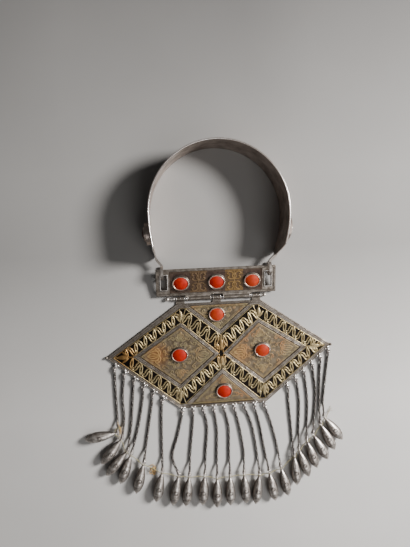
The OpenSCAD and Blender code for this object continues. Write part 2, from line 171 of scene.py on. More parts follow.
def dome(centre, up, r, height, sides=8, rows=3):
    """A small raised grain."""
    up = unit(np.asarray(up, float))
    x = unit(np.cross(up, [0.3, 1.0, 0.2]))
    y = np.cross(up, x)
    v = []
    for i in range(rows):
        a = math.pi / 2 * i / rows
        for k in range(sides):
            b = 2 * math.pi * k / sides
            out = math.cos(b) * x + math.sin(b) * y
            v.append(centre + math.cos(a) * r * out + math.sin(a) * height * up)
    v.append(centre + height * up)
    last = (rows - 1) * sides
    tip = [(last + k, last + (k + 1) % sides, rows * sides) for k in range(sides)]
    return np.array(v), skin(rows, sides) + tip + caps(rows, sides)[:1]


def bend(points, steps):
    """A smooth line through points, as in the CAD model."""
    p = [np.asarray(q, float) for q in points]
    n = len(p) - 1
    out = []
    for i in range(n):
        a, b, c, d = p[max(i - 1, 0)], p[i], p[min(i + 1, n)], p[min(i + 2, n)]
        for k in range(steps):
            t = k / steps
            out.append(0.5 * (2 * b + (c - a) * t + (2 * a - 5 * b + 4 * c - d) * t * t
                              + (3 * b - a - 3 * c + d) * t ** 3))
    return np.array(out + [p[-1]])


def resample(path, step):
    """Points at an even spacing along a path."""
    p = np.asarray(path, float)
    run = np.concatenate([[0], np.cumsum(np.linalg.norm(np.diff(p, axis=0), axis=1))])
    n = max(2, int(round(run[-1] / step)) + 1)
    at = np.linspace(0, run[-1], n)
    return np.column_stack([np.interp(at, run, p[:, k]) for k in range(p.shape[1])])


def turned(points, x, y, turn, size=1.0):
    """Flat points turned, scaled and moved."""
    c, t = math.cos(turn), math.sin(turn)
    return [(x + size * (c * px - t * py), y + size * (t * px + c * py)) for px, py in points]


def smooth01(u):
    u = np.clip(u, 0, 1)
    return u * u * (3 - 2 * u)


# Loops, chains and drops: the same rows and sums as in the CAD model
LOOP_R, LOOP_WIRE, RING_R, RING_WIRE = 1.5, 0.4, 1.3, 0.33
CHAIN_R = 1.2
CHAIN_Z = CHAIN_R + GAP
LOOP_Z, LOOP_OUT = 2, 1.2
DROP_R, DROP_WIDE, DROP_L = 4.5, 18.6, 28.8
# Rows of fixed loops: edge of the plate, place of the first, pitch, count
LOOP_ROWS = [("left", 10.8, 10.2, 6), ("low", -36.4, 9.25, 9), ("right", 54.7, -9.9, 6)]
# A row a chain: first bend x, y, last bend x, y, drop top x, y, drop angle
RUNS = [
    (-94.4, -28, -94, -52, -93.8, -65.7, -82.5),
    (-88.6, -36, -88.2, -54, -90.2, -70.5, -41.3),
    (-80, -38, -82.2, -60, -85.9, -81.6, -43.1),
    (-71.6, -40, -76.5, -64, -83, -84.5, -22.2),
    (-64, -46, -69.5, -76, -72.6, -93.5, -16.2),
    (-55.4, -54, -56.2, -80, -56.7, -102.5, -13.8),
    (-41.5, -72, -47.6, -92, -42.4, -107, -13.2),
    (-28.3, -66, -31.4, -90, -33.1, -108.4, -8.8),
    (-15.3, -68, -17.2, -88, -19.4, -108.9, -6.1),
    (-6.6, -72, -7.5, -92, -8.4, -111.9, -2.2),
    (4.1, -70, 3.6, -90, 3.2, -111.1, -0.9),
    (13.8, -70, 16.8, -92, 15.9, -110.6, 2.5),
    (25.3, -70, 28.6, -92, 30.2, -112.4, -9.3),
    (32.4, -70, 35.8, -92, 38.9, -111, 9.9),
    (43.2, -70, 47.6, -90, 49.6, -107.8, 13.1),
    (60, -52, 61.6, -76, 62.5, -98.2, 4.1),
    (69.8, -50, 68.6, -74, 66.7, -92.6, 18.5),
    (77.4, -48, 76.6, -68, 74.4, -85.1, 18.8),
    (85.2, -44, 83.4, -64, 80.3, -80, 28.5),
    (88.8, -44, 88.3, -58, 87.7, -71.2, 27),
    (93.6, -40, 91.8, -54, 91, -64.9, 36.8),
]


TIP_X, LOW_X, LOW_Y = 101, 38.5, 49


def edge_foot(side, t):
    """Foot of a loop on one of the plate's lower edges, and the way out from there."""
    e = unit(v3(TIP_X - LOW_X, LOW_Y))
    s = -1 if side == "left" else 1
    if side == "low":
        return v3(t, -LOW_Y, 0), v3(0, -1, 0)
    return v3(s * (TIP_X - t * e[0]), -t * e[1], 0), v3(s * e[1], -e[0], 0)


feet = [edge_foot(row[0], row[1] + k * row[2]) for row in LOOP_ROWS for k in range(row[3])]


class Run:
    """Places along one chain and its drop."""

    def __init__(self, i):
        x1, y1, x2, y2, xd, yd, a = RUNS[i]
        a = math.radians(a)
        self.angle = a
        self.foot, self.out = feet[i]
        self.loop = self.foot + LOOP_OUT * self.out + v3(0, 0, LOOP_Z)
        self.dir = v3(math.sin(a), -math.cos(a), 0)
        self.top = v3(xd, yd, DROP_R)
        self.eye = self.top + (LOOP_R + LOOP_WIRE) * self.dir
        flat = [1, 1, 0]
        way_out = unit((v3(x1, y1, 1) - self.loop) * flat)
        way_back = unit((v3(x2, y2, 1) - self.top) * flat)
        self.ring_top = self.loop + LOOP_R * self.out + 0.25 * way_out
        self.ring_low = self.eye - LOOP_R * self.dir + 0.25 * way_back
        reach = RING_R + RING_WIRE + 0.15
        a0, b0 = (self.ring_top + reach * way_out) * flat, (self.ring_low + reach * way_back) * flat
        p = bend([a0, v3(x1, y1, 0), v3(x2, y2, 0), b0], 12)
        da, db = np.linalg.norm(p - a0, axis=1), np.linalg.norm(p - b0, axis=1)
        rise_top, rise_low = 1 - smooth01(da / 6), 1 - smooth01(db / 11)
        p[:, 2] = CHAIN_Z + (LOOP_Z - CHAIN_Z) * rise_top + (DROP_R - CHAIN_Z) * rise_low
        self.path = p


runs = [Run(i) for i in range(len(RUNS))]

# The tying thread, a free cord
THREAD_R = 0.35


def thread_at(i):
    return runs[i].eye + 0.55 * runs[i].dir


def thread_way(i):
    return 1.1 * v3(math.cos(runs[i].angle), math.sin(runs[i].angle), 0)


thread_points = [v3(-91.5, -62.4, 5.6), v3(-93.6, -60.8, 6), v3(-95.7, -62.6, 5.3)]
for i in range(len(runs)):
    thread_points += [thread_at(i) - thread_way(i), thread_at(i) + thread_way(i)]
    if i < len(runs) - 1:
        thread_points.append((thread_at(i) + thread_way(i) + thread_at(i + 1) - thread_way(i + 1)) / 2
                             - v3(0, 0, 1.2))
thread_points += [v3(95.4, -64.6, 2.4), v3(97.6, -61.8, 1)]
thread_path = resample(bend(thread_points, 6), 0.3)

# Materials
FACE_Z = 1.3


def material(name, metallic=0.0, roughness=0.5, **sockets):
    """A new material and what its nodes need: (material, nodes, links, shader, object coordinates)."""
    m = bpy.data.materials.new(name)
    m.use_nodes = True
    nt = m.node_tree
    p = nt.nodes["Principled BSDF"]
    p.inputs["Metallic"].default_value = metallic
    p.inputs["Roughness"].default_value = roughness
    for key, value in sockets.items():
        p.inputs[key.replace("_", " ")].default_value = value
    coords = nt.nodes.new("ShaderNodeTexCoord").outputs["Object"]
    return m, nt.nodes, nt.links, p, coords


def noise(n, l, coords, scale, detail=3.0):
    t = n.new("ShaderNodeTexNoise")
    t.inputs["Scale"].default_value = scale
    t.inputs["Detail"].default_value = detail
    l.new(coords, t.inputs["Vector"])
    return t.outputs["Fac"]


def ramp(n, l, source, stops):
    """A colour ramp: stops are (place, colour)."""
    r = n.new("ShaderNodeValToRGB")
    e = r.color_ramp.elements
    for k, (at, colour) in enumerate(stops):
        s = e[k] if k < 2 else e.new(at)
        s.position = at
        s.color = (*colour, 1)
    l.new(source, r.inputs[0])
    return r.outputs[0]


def span(n, l, source, a, b, c, d):
    """A source's range a to b mapped to c to d."""
    r = n.new("ShaderNodeMapRange")
    for key, value in zip(("From Min", "From Max", "To Min", "To Max"), (a, b, c, d)):
        r.inputs[key].default_value = value
    l.new(source, r.inputs["Value"])
    return r.outputs[0]


def mix(n, l, factor, a, b, kind="MIX"):
    """Colours a and b, each a socket or three numbers, mixed by a factor's socket."""
    r = n.new("ShaderNodeMix")
    r.data_type = "RGBA"
    r.blend_type = kind
    l.new(factor, r.inputs[0])
    for socket, value in ((r.inputs[6], a), (r.inputs[7], b)):
        if isinstance(value, tuple):
            socket.default_value = (*value, 1)
        else:
            l.new(value, socket)
    return r.outputs[2]


def math_node(n, l, kind, a, b, c=None):
    r = n.new("ShaderNodeMath")
    r.operation = kind
    for k, value in enumerate((a, b, c)):
        if value is None:
            continue
        if isinstance(value, (int, float)):
            r.inputs[k].default_value = value
        else:
            l.new(value, r.inputs[k])
    return r.outputs[0]


def axes(n, l, coords):
    """Sockets of x, y and z."""
    s = n.new("ShaderNodeSeparateXYZ")
    l.new(coords, s.inputs[0])
    return s.outputs


def opened(m):
    """What a finished material's nodes need: (nodes, links, shader, object coordinates)."""
    n = m.node_tree.nodes
    coords = [x for x in n if x.type == "TEX_COORD"][0].outputs["Object"]
    return n, m.node_tree.links, n["Principled BSDF"], coords


def recolour(m, factor, colour, kind="MIX"):
    """Another colour over a finished material's own, where the factor is high."""
    n, l, p, c = opened(m)
    old = p.inputs["Base Color"].links[0].from_socket
    l.new(mix(n, l, factor, old, colour, kind), p.inputs["Base Color"])


def near(n, l, coords, x, y, reach):
    """1 at a place of the plate's frame, fading to 0 at reach millimetres."""
    d = n.new("ShaderNodeVectorMath")
    d.operation = "DISTANCE"
    l.new(coords, d.inputs[0])
    d.inputs[1].default_value = [(x + PLACE[0]) * MM, (y + PLACE[1]) * MM, FACE_Z * MM]
    return span(n, l, d.outputs["Value"], reach * MM, 0.3 * reach * MM, 0.0, 1.0)


def bump(n, l, p, height, distance=0.0002, strength=0.5):
    b = n.new("ShaderNodeBump")
    b.inputs["Distance"].default_value = distance
    b.inputs["Strength"].default_value = strength
    l.new(height, b.inputs["Height"])
    l.new(b.outputs[0], p.inputs["Normal"])


def tint(n):
    a = n.new("ShaderNodeAttribute")
    a.attribute_name = "tint"
    return a.outputs["Fac"]


def metal(name, light, mid, dark, rough=(0.3, 0.5), metallic=0.9, patch=260.0, shade=(0.06, 0.045, 0.035)):
    """Worn metal: patches of tarnish, fine scratches, and darker where tint is high."""
    m, n, l, p, c = material(name, metallic, 0.4)
    big = noise(n, l, c, patch, 4)
    fine = noise(n, l, c, 2600, 4)
    both = math_node(n, l, "MULTIPLY_ADD", fine, 0.35, math_node(n, l, "MULTIPLY", big, 0.65))
    colour = ramp(n, l, both, [(0.36, dark), (0.64, light), (0.5, mid)])
    t = tint(n)
    l.new(mix(n, l, t, colour, shade), p.inputs["Base Color"])
    l.new(math_node(n, l, "MULTIPLY_ADD", t, 0.2, span(n, l, both, 0.35, 0.65, rough[1], rough[0])),
          p.inputs["Roughness"])
    bump(n, l, p, both, 0.0001, 0.5)
    return m


silver = metal("silver", (0.34, 0.3, 0.265), (0.225, 0.195, 0.165), (0.12, 0.096, 0.077))
drop_silver = metal("drop_silver", (0.96, 0.91, 0.86), (0.7, 0.64, 0.59), (0.26, 0.21, 0.18),
                    (0.28, 0.42), 0.85, 420, (0.045, 0.034, 0.028))
chain_silver = metal("chain_silver", (0.92, 0.88, 0.86), (0.66, 0.61, 0.58), (0.2, 0.17, 0.15),
                     (0.2, 0.34), patch=900, shade=(0.03, 0.022, 0.018))
dark_silver = metal("dark_silver", (0.7, 0.6, 0.54), (0.5, 0.42, 0.37), (0.26, 0.21, 0.18), patch=90)


def paint_reflection_low(m, y, light):
    """Painted reflection: lighter toward the band's ends, below a height y of the plate's frame."""
    n, l, p, c = opened(m)
    low, high = (y - 3 + PLACE[1]) * MM, (y + 3 + PLACE[1]) * MM
    recolour(m, span(n, l, axes(n, l, c)[1], low, high, 0.75, 0.0), light)


# painted reflection, lighter toward the collar band's ends
paint_reflection_low(dark_silver, 88, (0.4, 0.37, 0.34))
bright_silver = metal("bright_silver", (0.96, 0.94, 0.92), (0.82, 0.78, 0.75), (0.5, 0.45, 0.42),
                      (0.18, 0.3), patch=500)
bezel_copper = metal("bezel_copper", (0.7, 0.53, 0.45), (0.5, 0.35, 0.28), (0.24, 0.15, 0.115),
                     (0.3, 0.44), patch=500)


def carnelian(name, deep, glow):
    """Clouded stone with a soft polish."""
    m, n, l, p, c = material(name, 0.0, 0.55, Specular_IOR_Level=0.16)
    v = noise(n, l, c, 330, 3)
    l.new(ramp(n, l, v, [(0.35, deep), (0.7, glow)]), p.inputs["Base Color"])
    bump(n, l, p, noise(n, l, c, 700, 2), 0.0001, 0.25)
    return m


stone_red = carnelian("stone_red", (0.3, 0.007, 0.001), (0.42, 0.018, 0.003))
stone_orange = carnelian("stone_orange", (0.34, 0.024, 0.005), (0.45, 0.048, 0.013))
stone_dark = carnelian("stone_dark", (0.04, 0.004, 0.002), (0.08, 0.008, 0.003))


def cotton(name, pale, deep):
    """Fuzzy thread in two tones."""
    m, n, l, p, c = material(name, 0.0, 0.85, Sheen_Weight=0.3)
    l.new(ramp(n, l, noise(n, l, c, 900, 3), [(0.35, deep), (0.65, pale)]), p.inputs["Base Color"])
    bump(n, l, p, noise(n, l, c, 9000, 2), 0.00006, 0.6)
    return m


thread_mat = cotton("thread", (0.42, 0.37, 0.2), (0.22, 0.19, 0.09))
knot_mat = cotton("knot_thread", (0.62, 0.4, 0.13), (0.36, 0.2, 0.06))


# Silver whose lowest level, seen through the pierced gilding, is black below the plate's upper border
SHEET_Z, UPPER_BORDER = 1.2, 43.2
plate_silver = silver.copy()
plate_silver.name = "plate_silver"
n, l, p, c = opened(plate_silver)
_, y, z = axes(n, l, c)
level = math_node(n, l, "COMPARE", z, SHEET_Z * MM, 0.06 * MM)
inside = math_node(n, l, "LESS_THAN", y, (UPPER_BORDER + PLACE[1]) * MM)
recolour(plate_silver, math_node(n, l, "MULTIPLY", level, inside), (0.012, 0.009, 0.008))
ORANGE_STONES = ("bar_stone_right", "plate_stone_top", "plate_stone_right")

for name, node in nodes.items():
    if name.startswith("collar_stone"):
        mat = stone_dark
    elif "stone" in name:
        mat = stone_orange if name in ORANGE_STONES else stone_red
    elif name == "chest_plate":
        mat = plate_silver
    elif name == "collar_band":
        mat = dark_silver
    elif name == "hinge_pin":
        mat = drop_silver
    else:
        mat = silver
    node.data.materials.clear()
    node.data.materials.append(mat)

# Floor and light
FLOOR_HALF = 3

me = bpy.data.meshes.new("floor")
me.from_pydata([(x * FLOOR_HALF, y * FLOOR_HALF, 0) for x, y in ((-1, -1), (1, -1), (1, 1), (-1, 1))],
               [], [(0, 1, 2, 3)])
floor = bpy.data.objects.new("floor", me)
bpy.context.collection.objects.link(floor)
floor_mat, n, l, p, c = material("floor", 0.0, 0.9, Specular_IOR_Level=0.15)
paint = ramp(n, l, noise(n, l, c, 14, 3), [(0.3, (0.66, 0.643, 0.625)), (0.7, (0.69, 0.673, 0.655))])
# Painted shade: the floor's tone falls off toward the back and the left, and comes back far behind
x, y, _ = axes(n, l, c)
back = math_node(n, l, "ADD", span(n, l, y, -0.07, 0.07, 0.0, 0.5), span(n, l, y, 0.14, 0.3, 0.0, 0.24))
back = math_node(n, l, "MULTIPLY", back, span(n, l, x, -0.12, 0.04, 0.82, 1.0))
back = math_node(n, l, "MULTIPLY", back, span(n, l, y, 0.34, 0.62, 1.0, 0.1))
side = span(n, l, x, 0.1, -0.2, 0.0, 0.14)
l.new(mix(n, l, math_node(n, l, "ADD", back, side), paint, (0.012, 0.011, 0.011)), p.inputs["Base Color"])
bump(n, l, p, noise(n, l, c, 2500, 2), 0.00005, 0.2)
me.materials.append(floor_mat)

world = bpy.data.worlds.new("world")
world.use_nodes = True
sky = world.node_tree.nodes["Background"]
sky.inputs["Color"].default_value = (0.74, 0.73, 0.72, 1)
sky.inputs["Strength"].default_value = 0.085
bpy.context.scene.world = world


def area_light(name, place, target, size, power, colour):
    d = bpy.data.lights.new(name, "AREA")
    d.shape, d.size, d.energy, d.color = "DISK", size, power, colour
    o = bpy.data.objects.new(name, d)
    o.location = place
    o.rotation_euler = (Vector(target) - Vector(place)).to_track_quat("-Z", "Y").to_euler()
    bpy.context.collection.objects.link(o)


area_light("key", (0.8, 0.3, 0.58), (0, 0.03, 0), 0.3, 23, (1, 0.982, 0.96))
area_light("fill", (0.35, -0.45, 0.8), (0.05, -0.1, 0), 0.7, 2.6, (1, 0.99, 0.98))

# The thread, its knot, its tangle and its loose end
STRAND_SIDES = 10


def in_metres(points):
    return [tuple((np.asarray(p) + PLACE) * MM) for p in points]


s = Shape()
s.add(*tube(thread_path, THREAD_R, 12, lobes=3, twist=2.6))
thread = s.make("tie_thread_twisted", "plaque", thread_mat, "cotton")
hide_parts("tie_thread")


def loops_of_thread(name, node, mat, lines, r=0.33):
    """Plied strands along lines, as one piece."""
    s = Shape()
    for line in lines:
        s.add(*tube(resample(bend(line, 8), 0.22), r, STRAND_SIDES, lobes=3, twist=2.8))
    o = s.make(name, "plaque", mat, "cotton")
    if node:
        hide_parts(node)
    return o


def around(centre, size, turns, lean=0.3, step=26):
    """Turns of thread wound round a knot's core, along Y, in step points a turn."""
    out = []
    for k in range(int(turns * step) + 1):
        a = 2 * math.pi * k / step
        y = -1 + 2 * k / (turns * step)
        w = math.sqrt(max(0.12, 1 - 0.8 * y * y))
        c, t = math.cos(a), math.sin(a)
        out.append(centre + v3(size[0] * w * c, size[1] * y + lean * t, size[2] * w * t))
    return out


def off(centre, row):
    return [centre + v3(*q) for q in row]


knot_at = v3(-91.75, -64.4, 3.1)
knot = loops_of_thread("thread_knot_wound", "thread_knot", knot_mat, [
    around(knot_at, (0.85, 3.2, 2.1), 5.5),
    off(knot_at, [(0.2, 2.4, 1.4), (-0.6, 4.2, 1.8), (-1.6, 6.2, 0.2), (-1.9, 8.2, -1.6)]),
    off(knot_at, [(-0.6, -2.2, 1.2), (-1.4, -4.2, 1), (-0.4, -6.4, -0.6), (0.8, -8.2, -2.2)]),
])
tangle_at = v3(-65.4, -102.6, 0.7)


def loop_at(cx, cy, lx, ly, turn, z0, z1, count=11):
    """A loop of the tangle: its middle, its half sizes, its turn, its lowest and highest place."""
    out = []
    for k in range(count):
        a = 2 * math.pi * k / (count - 1)
        (x, y), = turned([(lx * math.cos(a), ly * math.sin(a))], cx, cy, turn)
        out.append(tangle_at + v3(x, y, z0 + (z1 - z0) * (0.5 - 0.5 * math.cos(a))))
    return out


tangle = loops_of_thread("thread_tangle_loops", "thread_tangle", knot_mat, [
    loop_at(0.3, 1.8, 1.9, 3.2, 0.5, 0.2, 1.8),
    loop_at(-0.7, -0.6, 1.5, 3.4, -0.5, 0.1, 1.2),
    loop_at(0.8, -1.6, 1.4, 3.0, 0.2, -0.2, 0.7),
    off(tangle_at, [(0.6, 2.6, 1.5), (1.8, 0.4, 1.2), (1.4, -2.6, 0.2), (0.2, -4.8, -0.3)]),
], 0.3)
end = thread_points[-1]
# A row a strand: places off the thread's end
TUFT = [
    [(-0.9, -1.6, 0.35), (0.2, 0.2, 0.1), (1.6, 1.6, -0.35), (3.4, 2.2, -0.75)],
    [(-0.8, -1.6, 0.1), (0.2, 0.8, 0), (0.8, 2.6, -0.5), (1.8, 4.2, -0.8)],
    [(-0.7, -1.4, -0.1), (0.9, -0.2, -0.2), (2.4, 0.2, -0.6), (3.8, -0.2, -0.8)],
]
tuft = loops_of_thread("thread_end_strands", None, thread_mat, [off(end, row) for row in TUFT], 0.14)
in_metres(thread_points[:1])[0]
in_metres(thread_path)

# Chains of small links, with a coil at each end
LINK_PITCH, LINK_HALF, LINK_WIDE, LINK_WIRE = 1.0, 1.15, 0.84, 0.36
# painted shade added to the links in turn, so that the cleaner ones read as bright highlights
LINK_TINTS = (0.0, 0.55, 0.92)
COILS, COIL_PITCH, COIL_R, COIL_WIRE = 3, 0.8, 1.15, 0.5

loops = Shape()
for i, run in enumerate(runs):
    rnd = random.Random(40 + i)
    s = Shape()
    path = resample(run.path, LINK_PITCH)
    _, t, side, up = frames(path)
    for k in range(len(path)):
        a = 0.25 + (k % 2) * math.pi / 2 + rnd.uniform(-0.2, 0.2)
        normal = math.cos(a) * side[k] + math.sin(a) * up[k]
        v, f = ring(path[k], normal, LINK_WIDE, LINK_WIRE, 10, 6, LINK_HALF / LINK_WIDE, t[k])
        # painted shade: each link darker below its middle and lighter on top, plus the darkness for its place
        # in the row
        link_painted_shade = 1 - smooth01((v[:, 2] - path[k][2] - 0.1) / 0.5)
        s.add(v, f, np.clip(link_painted_shade + LINK_TINTS[k % 3], 0, 1))
    for c0, normal in ((run.ring_top, v3(0.12, 0, 1)), (run.ring_low, v3(-0.1, 0.1, 1))):
        s.add(*ring(c0, normal, RING_R, RING_WIRE + 0.14, 20, 8))
    for c0, toward in ((run.ring_top, path[0]), (run.ring_low, path[-1])):
        e = unit(toward - c0)
        for k in range(COILS):
            s.add(*ring(c0 + e * (0.9 + COIL_PITCH * k), e, COIL_R - 0.12 * k, COIL_WIRE, 16, 6),
                  tint=0.6 if k == 1 else 0.0)
    # a thick bright loop with a grain on each side of its foot
    across = v3(run.out[1], -run.out[0], 0)
    loops.add(*ring(run.loop, across, LOOP_R, 0.62, 20, 8))
    for w in (-1, 1):
        foot = run.foot - 0.35 * run.out + w * 1.5 * across
        loops.add(*dome(foot + v3(0, 0, 1.7), v3(0, 0, 1), 1.15, 1.0, 12, 4))
    chain = s.make(f"chain_{i + 1:02d}_links", "plaque", chain_silver, "chain_silver")
    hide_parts(f"chain_{i + 1:02d}")

loops.make("edge_loops", "plaque", bright_silver, "silver")

# Drops: pressed, with rows of grains and a ringed boss near the widest place
NECK = 2 * (LOOP_R + LOOP_WIRE) - 0.6
NECK_R, TIP_R = 0.9, 0.3
BOSS_AT = DROP_WIDE - 2.8


def drop_radius(d):
    """Radius at a distance from the top: two arcs that meet at the widest place."""
    def arc(l, inward):
        return (l * l + inward * inward) / (2 * inward)
    r = arc(DROP_WIDE - NECK, DROP_R - NECK_R) if d < DROP_WIDE else arc(DROP_L - DROP_WIDE, DROP_R - TIP_R)
    return DROP_R - r + math.sqrt(max(0, r * r - (d - DROP_WIDE) ** 2))


def faceted(d, a):
    """Radius at a distance and an angle, drawn in a little between four keels."""
    return drop_radius(d) * (1 - 0.03 * abs(math.sin(2 * a)) ** 3)


def drop_shape(rows=44, sides=40):
    """A drop along +X from its top, with its front to +Z. Returns a Shape."""
    s = Shape()
    ds = np.linspace(NECK, DROP_L - 0.3, rows)
    rings, shade = [], []
    for d in ds:
        for k in range(sides):
            a = 2 * math.pi * k / sides
            keel = max(0.0, math.cos(a)) ** 6
            groove = math.exp(-((d - DROP_WIDE - 3.4) / 0.35) ** 2) + math.exp(-((d - NECK - 2.2) / 0.3) ** 2)
            r = faceted(d, a) - 0.12 * groove
            rings.append((d, -r * math.sin(a), r * math.cos(a)))
            # tint: darker in the grooves, painted shade on the flanks and away from the front keel, and a
            # little darker toward the tip
            low = smooth01((d - DROP_WIDE - 2.6) / 3)
            flank = abs(math.sin(a)) ** 2.6
            shade.append(min(1, 0.4 * groove + 0.95 * flank + 0.14 * low + 0.06 * (1 - keel)))
    s.add(rings, skin(rows, sides) + caps(rows, sides), shade)

    def on(d, a, lift):
        """A place on the drop, and the way out from there."""
        way = v3(0, -math.sin(a), math.cos(a))
        return v3(d, 0, 0) + (faceted(d, a) + lift) * way, way

    # grains in two rows from the neck to the boss, on the front and the back
    for front in (0.0, math.pi):
        for sign in (-1, 1):
            for k in range(7):
                d = NECK + 3.6 + k * 1.3
                q, n = on(d, front + sign * (0.2 + 0.5 * (k / 6)), -0.12)
                s.add(*dome(q, n, 0.34, 0.28, 8, 2), tint=0.1)
        q, n = on(BOSS_AT, front, -0.05)
        s.add(*ring(q + 0.08 * n, n, 1.6, 0.3, 20, 6), tint=0.85)
        s.add(*dome(q, n, 1.3, 0.25, 14, 3))
        s.add(*dome(q + 0.2 * n, n, 0.4, 0.25, 8, 3), tint=0.6)
    for k in range(18):
        a = 2 * math.pi * k / 18
        if abs(math.sin(a)) < 0.3:
            continue
        q, n = on(DROP_WIDE + 2.6, a, -0.12)
        s.add(*dome(q, n, 0.28, 0.24, 6, 2), tint=0.25)
    # the nub at the tip, the collar at the neck and the loop
    s.add(*dome(v3(DROP_L - 0.75, 0, 0), v3(1, 0, 0), 0.8, 0.75, 12, 4), tint=0.9)
    s.add(*ring(v3(NECK + 0.35, 0, 0), v3(1, 0, 0), 1.0, 0.28, 20, 8), tint=0.2)
    s.add(*dome(v3(NECK - 0.1, 0, 0), v3(-1, 0, 0), 0.95, 0.7, 12, 3), tint=0.3)
    s.add(*ring(v3(LOOP_R + LOOP_WIRE, 0, 0), v3(0, 1, 0), LOOP_R, LOOP_WIRE, 24, 10))
    return s


for i, run in enumerate(runs):
    rnd = random.Random(7 + i)
    s = drop_shape()
    roll = rnd.uniform(-0.12, 0.12)
    c, t = math.cos(roll), math.sin(roll)
    rolled = np.array([(1, 0, 0), (0, c, t), (0, -t, c)])
    lying = np.array([run.dir, np.cross(v3(0, 0, 1), run.dir), v3(0, 0, 1)])
    # all but the loop, which is the last part, is rolled a little
    s.v = [run.top + (part @ rolled if k < len(s.v) - 1 else part) @ lying for k, part in enumerate(s.v)]
    drop = s.make(f"drop_{i + 1:02d}_pressed", "plaque", drop_silver, "silver")
    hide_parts(f"drop_{i + 1:02d}")

# Pierced and gilt scroll band between the plate's strips, with painted orange light at the left tip and the
# crossing
gilt_bright = metal("gilt_bright", (0.56, 0.47, 0.27), (0.42, 0.33, 0.175), (0.26, 0.185, 0.09),
                    (0.3, 0.46), patch=420)
n, l, p, c = opened(gilt_bright)
crossing = math_node(n, l, "MULTIPLY", near(n, l, c, 0, 1, 16), 0.7)
spots = math_node(n, l, "MAXIMUM", near(n, l, c, -84, -0.5, 15), crossing)
recolour(gilt_bright, math_node(n, l, "MULTIPLY", spots, 0.8), (0.95, 0.6, 0.3), "MULTIPLY")


def mirror_x(points):
    return [(-x, y) for x, y in points]


def outline(path, widths):
    """Closed outline round a short stroke of changing half width."""
    p = resample(bend([v3(x, y, 0) for x, y in path], 4), 0.45)
    w = np.interp(np.linspace(0, 1, len(p)), np.linspace(0, 1, len(widths)), widths)
    t = np.gradient(p, axis=0)
    t /= np.linalg.norm(t, axis=1)[:, None]
    side = np.column_stack([t[:, 1], -t[:, 0]])
    return [tuple(q) for q in np.vstack([p[:, :2] + side * w[:, None], (p[:, :2] - side * w[:, None])[::-1]])]


def inset(points, d):
    """A convex outline drawn in by d; points run either way round."""
    p = [np.array(q, float) for q in points]
    area = sum(a[0] * b[1] - b[0] * a[1] for a, b in zip(p, p[1:] + p[:1]))
    turn = 1 if area > 0 else -1
    out = []
    n = len(p)
    for i in range(n):
        a, b, c = p[i - 1], p[i], p[(i + 1) % n]
        e1, e2 = unit(b - a), unit(c - b)
        n1, n2 = turn * np.array([-e1[1], e1[0]]), turn * np.array([-e2[1], e2[0]])
        m = n1 + n2
        out.append(tuple(b + m * d / max(0.2, np.dot(m, n1))))
    return out


# Lines of one unit, along and across the band: a slit leaf and an S
UNIT_LINES = [
    outline([(1.9, -3.9), (0.7, -1.4), (-0.7, 1.3), (-1.9, 3.8)], [0.15, 1.05, 1.05, 0.15]),
    outline([(7.6, 1.5), (7.1, 3.4), (5.6, 3.5), (5.1, 1.3), (5.4, -1.1), (4.5, -3.0), (3.1, -2.3)],
            [0.3, 0.95, 1.15, 1.0, 1.1, 1.1, 0.3]),
]
# Bands of the right half: from x, y, to x, y, half width, units, place of the first, way of the scroll
BANDS = [
    (86.7, -0.45, 34.9, 33.6, 5.2, 6, 4.0, 1),
    (34.8, 34.3, 1.0, 6.6, 6.6, 5, 0.0, -1),
    (1.0, -9.2, 37.9, -38.5, 6.0, 5, 1.2, 1),
    (37.9, -38.5, 86.7, -0.45, 5.3, 6, 2.6, -1),
]
PITCH, UNIT_HALF = 10.0, 5.2


def clip(points, quad):
    """The part of an outline inside a convex quad."""
    area = sum(a[0] * b[1] - b[0] * a[1] for a, b in zip(quad, quad[1:] + quad[:1]))
    if area < 0:
        quad = quad[::-1]
    out = list(points)
    for a, b in zip(quad, quad[1:] + quad[:1]):
        src, out = out, []
        for p, q in zip(src, src[1:] + src[:1]):
            dp = (b[0] - a[0]) * (p[1] - a[1]) - (b[1] - a[1]) * (p[0] - a[0])
            dq = (b[0] - a[0]) * (q[1] - a[1]) - (b[1] - a[1]) * (q[0] - a[0])
            if dp >= 0:
                out.append(tuple(p))
            if dp * dq < 0:
                g = dp / (dp - dq)
                out.append((p[0] + (q[0] - p[0]) * g, p[1] + (q[1] - p[1]) * g))
        if len(out) < 3:
            return []
    return out


def band_lines(x0, y0, x1, y1, half, count, first, way):
    """Scroll lines of one band, drawn from the end where its scroll runs down to the right."""
    a, b = v3(x0, y0, 0)[:2], v3(x1, y1, 0)[:2]
    if (b - a)[0] < 0:
        a, b = b, a
        first = np.linalg.norm(b - a) - first - (count - 1) * PITCH
    e = unit(b - a)
    n = v3(-e[1], e[0], 0)[:2] * way
    return [[tuple(a + e * (first + k * PITCH + u) + n * v * half / UNIT_HALF) for u, v in line]
            for k in range(count) for line in UNIT_LINES]


# Outlines on the plate: all the bands, a rhomb with and without its strips, and the two triangles
ZONE = [(95.3, -0.2), (35.2, 39.8), (30.4, 39.8), (0.15, 15), (-30.0, 39.8), (-35.2, 39.8), (-95.3, -0.2),
        (-38.3, -45.1), (-33.4, -45.1), (0.5, -15.8), (33.6, -45.1), (38.3, -45.1)]
RHOMB_OUT = [(77.9, -0.7), (34.7, 27.2), (1.7, -2.1), (37.5, -31.6)]
RHOMB_IN = [(72.6, -0.7), (34.8, 24), (5.8, -2.1), (37.3, -27.9)]
TOP_IN = [(-28.2, 42.3), (28.2, 42.3), (0, 19)]
LOW_IN = [(-29.5, -46.9), (29.5, -46.9), (0.5, -19.8)]

# The quad that each band fills
QUADS = [[ZONE[0], ZONE[1], RHOMB_OUT[1], RHOMB_OUT[0]], [RHOMB_OUT[1], ZONE[2], ZONE[3], RHOMB_OUT[2]],
         [RHOMB_OUT[2], ZONE[9], ZONE[10], RHOMB_OUT[3]], [RHOMB_OUT[3], ZONE[11], ZONE[0], RHOMB_OUT[0]]]


BAND_Z = 1.5


